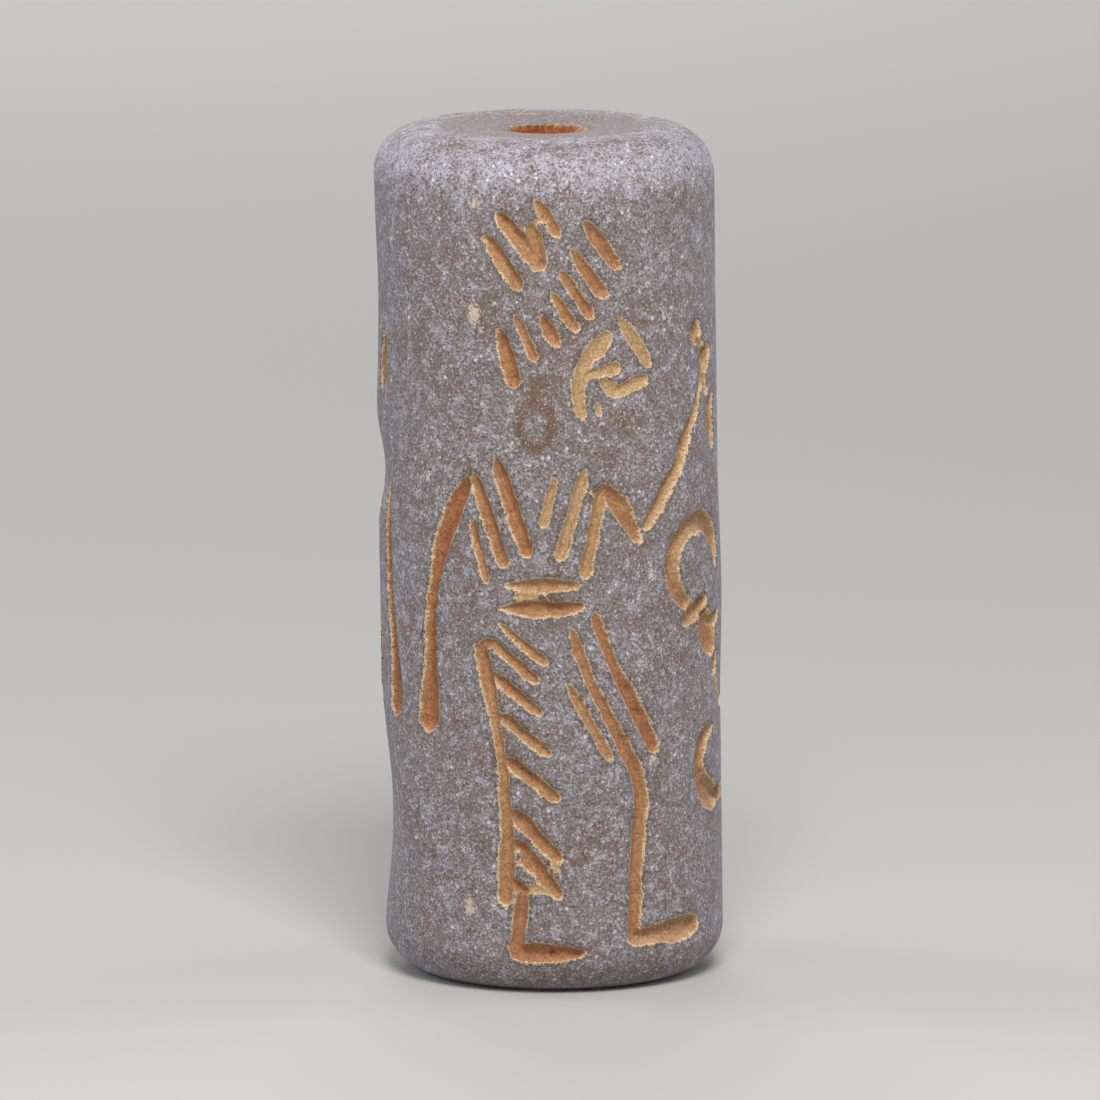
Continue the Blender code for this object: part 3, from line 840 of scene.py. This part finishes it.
# %% Store the numbers for the finish
for name, values in (("inside", inside), ("depth", depth), ("pale", pale), ("stain", stain),
                     ("chalk", chalk), ("wear_and_painted_light", wear_and_painted_light)):
    attribute = stone_mesh.attributes.new(name, "FLOAT", "POINT")
    attribute.data.foreach_set("value", values.astype(np.float32))
    print(f"{name}: {values.min():.2f} to {values.max():.2f}")

seal_stone = bpy.data.objects.new("seal_stone", stone_mesh)
bpy.context.scene.collection.objects.link(seal_stone)

# %% [markdown]
# ## Colours and nodes
# Colours are chosen as a screen shows them, as sRGB hex values, and Blender mixes light in linear
# values, so one function turns the one into the other. A second small function adds a node, sets
# what is given and links what is linked.

# %% Helpers for materials
def linear(hex_colour):
    """The linear colour of an sRGB hex value."""
    channels = [int(hex_colour[index:index + 2], 16) / 255 for index in (1, 3, 5)]
    return (*[value / 12.92 if value <= 0.04045 else ((value + 0.055) / 1.055) ** 2.4
              for value in channels], 1.0)


def add_node(tree, kind, inputs=None, output=None, **settings):
    """Adds a node, gives it its settings and inputs, and returns the socket that it gives out."""
    node = tree.nodes.new(kind)
    for name, value in settings.items():
        setattr(node, name, value)
    usable = {socket.name: socket for socket in reversed(node.inputs) if socket.enabled}
    for key, value in (inputs or {}).items():
        socket = node.inputs[key] if isinstance(key, int) else usable[key]
        if isinstance(value, bpy.types.NodeSocket):
            tree.links.new(value, socket)
        else:
            socket.default_value = value
    if output:
        return node.outputs[output]
    return next((socket for socket in node.outputs if socket.enabled), None)


# %% [markdown]
# ## The stone's finish
# The real stone is a fine-grained grey limestone, ground smooth but never polished. Close by it
# is a salt-and-pepper of grains about a tenth of a millimetre across, with brighter crystals
# between them and brown patches where earth has soaked in. Its strokes hold ochre, darker where
# they are deep, and their bruised edges are a broken cream line. The eye sees a dry, matt surface
# with a dusty light on it where it turns away.

# %% Ground limestone with ochre in its strokes
# The size of each pattern in mm. Some real grains are finer still, but a pixel of the picture is
# 0.05 mm wide, so the finest patterns are drawn about two pixels wide, which just shows.
SPECK = 0.085
RAGGED_GRAIN = 0.12
GRAIN = 0.13
CRYSTAL = 0.3
FROST = 0.7
EARTH = 2.4

limestone = bpy.data.materials.new("ground_limestone_with_ochre")
limestone.use_nodes = True
tree = limestone.node_tree
shader = tree.nodes["Principled BSDF"]


def per_metre(size):
    """The scale of a texture whose pattern has this size in mm."""
    return 1.0 / (size * MM)


position = add_node(tree, "ShaderNodeTexCoord", output="Object")
reads = {name: add_node(tree, "ShaderNodeAttribute", output="Fac", attribute_name=name)
         for name in ("inside", "depth", "pale", "stain", "chalk", "wear_and_painted_light")}

grain = add_node(tree, "ShaderNodeTexNoise",
                 {"Vector": position, "Scale": per_metre(GRAIN), "Detail": 2.0, "Roughness": 0.7})
fine = add_node(tree, "ShaderNodeTexNoise",
                {"Vector": position, "Scale": per_metre(RAGGED_GRAIN), "Detail": 1.0,
                 "Roughness": 0.5})
frost = add_node(tree, "ShaderNodeTexNoise",
                 {"Vector": position, "Scale": per_metre(FROST), "Detail": 4.0, "Roughness": 0.75})
earth = add_node(tree, "ShaderNodeTexNoise",
                 {"Vector": position, "Scale": per_metre(EARTH), "Detail": 5.0, "Roughness": 0.7,
                  "Distortion": 0.4})

# %% Stone colours
light_grain = add_node(tree, "ShaderNodeMapRange",
                       {"Value": grain, "From Min": 0.34, "From Max": 0.62})
stone_colour = add_node(tree, "ShaderNodeMix",
                        {"Factor": light_grain, "A": linear("#5F5959"), "B": linear("#8A8485")},
                        data_type="RGBA")
brown = add_node(tree, "ShaderNodeMapRange",
                 {"Value": earth, "From Min": 0.47, "From Max": 0.62, "To Max": 0.72})
brown = add_node(tree, "ShaderNodeMath", {0: brown, 1: reads["stain"]}, operation="ADD")
brown_grain = add_node(tree, "ShaderNodeMapRange",
                       {"Value": fine, "From Min": 0.3, "From Max": 0.6, "To Min": 1.0,
                        "To Max": 0.65})
brown = add_node(tree, "ShaderNodeMath",
                 {0: brown, 1: brown_grain}, operation="MULTIPLY", use_clamp=True)
stone_colour = add_node(tree, "ShaderNodeMix",
                        {"Factor": brown, "A": stone_colour, "B": linear("#6A523F")},
                        data_type="RGBA")

# %% Frost, crystals and chalk
# The painted light moves the frost: more on the top edge, as wear and painted highlight, less on
# the flat ends, as painted shade
frost_edge = add_node(tree, "ShaderNodeMath", {0: reads["wear_and_painted_light"], 1: 0.18}, operation="MULTIPLY")
frost_edge = add_node(tree, "ShaderNodeMath", {0: frost, 1: frost_edge}, operation="ADD")
frost_edge = add_node(tree, "ShaderNodeMath",
                      {0: reads["stain"], 1: -0.1, 2: frost_edge}, operation="MULTIPLY_ADD")
frosted = add_node(tree, "ShaderNodeMapRange",
                   {"Value": frost_edge, "From Min": 0.5, "From Max": 0.68, "To Max": 0.62})
stone_colour = add_node(tree, "ShaderNodeMix",
                        {"Factor": frosted, "A": stone_colour, "B": linear("#A9A6B2")},
                        data_type="RGBA")
speck = add_node(tree, "ShaderNodeTexVoronoi",
                 {"Vector": position, "Scale": per_metre(SPECK)}, output="Color")
speck = add_node(tree, "ShaderNodeSeparateColor", {"Color": speck})
dark_speck = add_node(tree, "ShaderNodeMapRange",
                      {"Value": speck, "From Min": 0.08, "From Max": 0.3, "To Min": 0.75,
                       "To Max": 0.0})
stone_colour = add_node(tree, "ShaderNodeMix",
                        {"Factor": dark_speck, "A": stone_colour, "B": linear("#55463D")},
                        data_type="RGBA")
speck_chance = add_node(tree, "ShaderNodeMath", {0: speck, 1: frost_edge}, operation="ADD")
bright_speck = add_node(tree, "ShaderNodeMapRange",
                        {"Value": speck_chance, "From Min": 1.36, "From Max": 1.5, "To Max": 0.6})
stone_colour = add_node(tree, "ShaderNodeMix",
                        {"Factor": bright_speck, "A": stone_colour, "B": linear("#B9B9C8")},
                        data_type="RGBA")
from_crystal = add_node(tree, "ShaderNodeTexVoronoi",
                        {"Vector": position, "Scale": per_metre(CRYSTAL)}, output="Distance")
cell_colour = from_crystal.node.outputs["Color"]
cell_pick = add_node(tree, "ShaderNodeSeparateColor", {"Color": cell_colour})
crystal_size = add_node(tree, "ShaderNodeMapRange",
                        {"Value": cell_pick, "From Min": 0.3, "From Max": 1.0, "To Max": 0.36})
crystal_edge = add_node(tree, "ShaderNodeMath",
                        {0: crystal_size, 1: from_crystal}, operation="SUBTRACT")
crystal = add_node(tree, "ShaderNodeMapRange",
                   {"Value": crystal_edge, "From Min": -0.02, "From Max": 0.12})
crystal_group = add_node(tree, "ShaderNodeMapRange",
                         {"Value": frost_edge, "From Min": 0.42, "From Max": 0.62, "To Min": 0.2})
crystal = add_node(tree, "ShaderNodeMath", {0: crystal, 1: crystal_group}, operation="MULTIPLY")
bright_grain = add_node(tree, "ShaderNodeMapRange",
                        {"Value": grain, "From Min": 0.6, "From Max": 0.74, "To Max": 0.8})
bright_grain = add_node(tree, "ShaderNodeMath", {0: bright_grain, 1: crystal}, operation="MAXIMUM")
stone_colour = add_node(tree, "ShaderNodeMix",
                        {"Factor": bright_grain, "A": stone_colour, "B": linear("#CFCBD6")},
                        data_type="RGBA")
chalk_edge = add_node(tree, "ShaderNodeMath",
                      {0: grain, 1: 1.6, 2: frost}, operation="MULTIPLY_ADD")
chalk_edge = add_node(tree, "ShaderNodeMath", {0: chalk_edge, 1: reads["chalk"]}, operation="ADD")
chalk_amount = add_node(tree, "ShaderNodeMapRange",
                        {"Value": chalk_edge, "From Min": 1.85, "From Max": 2.15, "To Max": 0.9})
stone_colour = add_node(tree, "ShaderNodeMix",
                        {"Factor": chalk_amount, "A": stone_colour, "B": linear("#C4B3A2")},
                        data_type="RGBA")

# %% Ochre in the strokes, and painted shade beside them
edge_noise = add_node(tree, "ShaderNodeMapRange",
                      {"Value": fine, "From Min": 0.25, "From Max": 0.75, "To Min": -0.07,
                       "To Max": 0.07})
edge = add_node(tree, "ShaderNodeMath", {0: reads["inside"], 1: edge_noise}, operation="ADD")
filled = add_node(tree, "ShaderNodeMapRange", {"Value": edge, "From Min": 0.01, "From Max": 0.04})
shallow = add_node(tree, "ShaderNodeMapRange",
                   {"Value": reads["depth"], "From Min": 0.05, "From Max": GROOVE_DEPTH,
                    "To Min": 0.4, "To Max": 0.0})
crumb = add_node(tree, "ShaderNodeMapRange",
                 {"Value": frost, "From Min": 0.35, "From Max": 0.65, "To Min": -0.15,
                  "To Max": 0.15})
lightness = add_node(tree, "ShaderNodeMath", {0: shallow, 1: crumb}, operation="ADD")
lightness = add_node(tree, "ShaderNodeMath",
                     {0: lightness, 1: reads["pale"]}, operation="ADD", use_clamp=True)
ochre = add_node(tree, "ShaderNodeMix",
                 {"Factor": lightness, "A": linear("#8E5230"), "B": linear("#A88A65")},
                 data_type="RGBA")
ochre_grain = add_node(tree, "ShaderNodeMapRange",
                       {"Value": grain, "From Min": 0.3, "From Max": 0.7, "To Min": 0.6,
                        "To Max": 1.42})
ochre = add_node(tree, "ShaderNodeVectorMath", {0: ochre, "Scale": ochre_grain}, operation="SCALE")
# Painted shade: the stone in a thin band just outside each groove's edge is darkened to 0.72 of its
# colour
painted_edge_shade = add_node(tree, "ShaderNodeMapRange",
                {"Value": edge, "From Min": -0.26, "From Max": -0.04, "To Min": 1.0,
                 "To Max": 0.72})
stone_colour = add_node(tree, "ShaderNodeVectorMath",
                        {0: stone_colour, "Scale": painted_edge_shade}, operation="SCALE")
colour = add_node(tree, "ShaderNodeMix",
                  {"Factor": filled, "A": stone_colour, "B": ochre}, data_type="RGBA")

# %% Bruised cream edges
rim_gap = add_node(tree, "ShaderNodeMath", {0: edge, 1: 0.02}, operation="SUBTRACT")
rim_gap = add_node(tree, "ShaderNodeMath", {0: rim_gap}, operation="ABSOLUTE")
rim = add_node(tree, "ShaderNodeMapRange",
               {"Value": rim_gap, "From Min": 0.012, "From Max": 0.04, "To Min": 1.0,
                "To Max": 0.0})
rim_broken = add_node(tree, "ShaderNodeMapRange",
                      {"Value": frost, "From Min": 0.36, "From Max": 0.56, "To Min": 0.5,
                       "To Max": 1.0})
rim = add_node(tree, "ShaderNodeMath", {0: rim, 1: rim_broken}, operation="MULTIPLY")
colour = add_node(tree, "ShaderNodeMix",
                  {"Factor": rim, "A": colour, "B": linear("#D6BC9C")}, data_type="RGBA")

# %% Roughness and grain relief
roughness = add_node(tree, "ShaderNodeMapRange",
                     {"Value": grain, "From Min": 0.3, "From Max": 0.7, "To Min": 0.84,
                      "To Max": 0.62})
relief = add_node(tree, "ShaderNodeMath", {0: grain, 1: frost}, operation="ADD")
bump = add_node(tree, "ShaderNodeBump", {"Height": relief, "Strength": 0.8, "Distance": 0.05 * MM})
tree.links.new(colour, shader.inputs["Base Color"])
tree.links.new(roughness, shader.inputs["Roughness"])
tree.links.new(bump, shader.inputs["Normal"])
# Limestone is mostly calcite, with an IOR of 1.5 to 1.65, but a ground surface throws little of
# that back. The weak, cool sheen is the dusty light where the stone turns away.
shader.inputs["IOR"].default_value = 1.5
shader.inputs["Specular IOR Level"].default_value = 0.35
shader.inputs["Sheen Weight"].default_value = 0.16
shader.inputs["Sheen Roughness"].default_value = 0.45
shader.inputs["Sheen Tint"].default_value = linear("#D9DEF0")
stone_mesh.materials.append(limestone)
print(f"{limestone.name}: {len(tree.nodes)} nodes")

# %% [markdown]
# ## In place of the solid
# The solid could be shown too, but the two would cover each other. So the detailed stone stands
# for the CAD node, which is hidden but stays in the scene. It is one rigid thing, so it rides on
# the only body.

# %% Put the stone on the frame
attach(seal_stone, "root")
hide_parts("seal")
print(f"{seal_stone.name} is shown in place of the solid")

# %% [markdown]
# ## The studio
# A pale matt floor and soft, even light, as for a museum record. A single lamp would throw black
# shadows into the strokes. So a wide lamp above and in front gives the lit shoulder and the shaded
# upper walls of the strokes, two cooler ones at the sides draw the edges, others in front and
# behind open the shadows, and a pale surround fills the rest.

# %% Floor
FLOOR_SIZE = 2.4

floor_shape = bmesh.new()
bmesh.ops.create_grid(floor_shape, x_segments=1, y_segments=1, size=FLOOR_SIZE / 2)
floor_mesh = bpy.data.meshes.new("studio_floor")
floor_shape.to_mesh(floor_mesh)
floor_shape.free()
studio_floor = bpy.data.objects.new("studio_floor", floor_mesh)
bpy.context.scene.collection.objects.link(studio_floor)

# Uncoated paper, which gives the eye an even, pale grey without a shine
matt_paper = bpy.data.materials.new("matt_paper")
matt_paper.use_nodes = True
paper = matt_paper.node_tree.nodes["Principled BSDF"]
paper.inputs["Base Color"].default_value = linear("#B9B7B4")
paper.inputs["Roughness"].default_value = 0.9
paper.inputs["Specular IOR Level"].default_value = 0.2
floor_mesh.materials.append(matt_paper)
print(f"the floor is {FLOOR_SIZE} m wide")

# %% Surround
surround = bpy.data.worlds.new("studio_surround")
surround.use_nodes = True
surround.node_tree.nodes["Background"].inputs["Color"].default_value = linear("#EDEEF2")
surround.node_tree.nodes["Background"].inputs["Strength"].default_value = 0.3
bpy.context.scene.world = surround
bpy.context.scene.view_settings.view_transform = "Standard"
print(f"the surround is {surround.name}")

# %% Lamps
# Name, place, width in metres, power in watts and colour
LAMPS = (("lamp_above", (0.02, -0.2, 0.235), 0.11, 0.87, "#FFFCF6"),
         ("lamp_front", (-0.1, -0.6, 0.2), 0.3, 0.4, "#FFFDFA"),
         ("lamp_left", (-0.34, 0.1, 0.16), 0.2, 0.5, "#EEF2FF"),
         ("lamp_right", (0.34, 0.1, 0.16), 0.2, 0.35, "#F4F5FF"),
         ("lamp_back", (-0.05, 0.5, 0.25), 0.3, 1.0, "#FFFDFA"))


def soft_lamp(name, lamp_place, size, power, hex_colour):
    """A square area lamp that faces the middle of the seal."""
    lamp = bpy.data.lights.new(name, "AREA")
    lamp.shape = "SQUARE"
    lamp.size = size
    lamp.energy = power
    lamp.color = linear(hex_colour)[:3]
    holder = bpy.data.objects.new(name, lamp)
    holder.location = lamp_place
    to_seal = Vector((0.0, 0.0, SEAL_LENGTH / 2)) - Vector(lamp_place)
    holder.rotation_euler = to_seal.to_track_quat("-Z", "Y").to_euler()
    bpy.context.scene.collection.objects.link(holder)


for lamp_row in LAMPS:
    soft_lamp(*lamp_row)
print(len(LAMPS), "lamps")

# %% [markdown]
# ## The camera
# A short lens close by would bend the seal's sides. So a long one stands 0.6 m away and looks down
# a little, so that the rim of the top end shows.

# %% Camera
CAMERA_DISTANCE = 0.6
CAMERA_ELEVATION = math.radians(9.35)
AIM_HEIGHT = 21.25 * MM
VIEW_WIDTH = 55.04 * MM
SENSOR_WIDTH = 36.0
IMAGE_SIZE = 1100
# Where the point that the camera aims at lies in the image, in pixels right of and below its
# middle
AIM_OFFSET = (-1.07, -2.3)

lens = bpy.data.cameras.new("camera")
lens.sensor_width = SENSOR_WIDTH
lens.lens = SENSOR_WIDTH * CAMERA_DISTANCE / VIEW_WIDTH
lens.shift_x = -AIM_OFFSET[0] / IMAGE_SIZE
lens.shift_y = AIM_OFFSET[1] / IMAGE_SIZE
lens.clip_start = 0.01
camera = bpy.data.objects.new("camera", lens)
camera.location = (0.0, -CAMERA_DISTANCE * math.cos(CAMERA_ELEVATION),
                   AIM_HEIGHT + CAMERA_DISTANCE * math.sin(CAMERA_ELEVATION))
camera.rotation_euler = (math.pi / 2 - CAMERA_ELEVATION, 0.0, 0.0)
bpy.context.scene.collection.objects.link(camera)
bpy.context.scene.camera = camera
print(f"lens {lens.lens:.1f} mm")
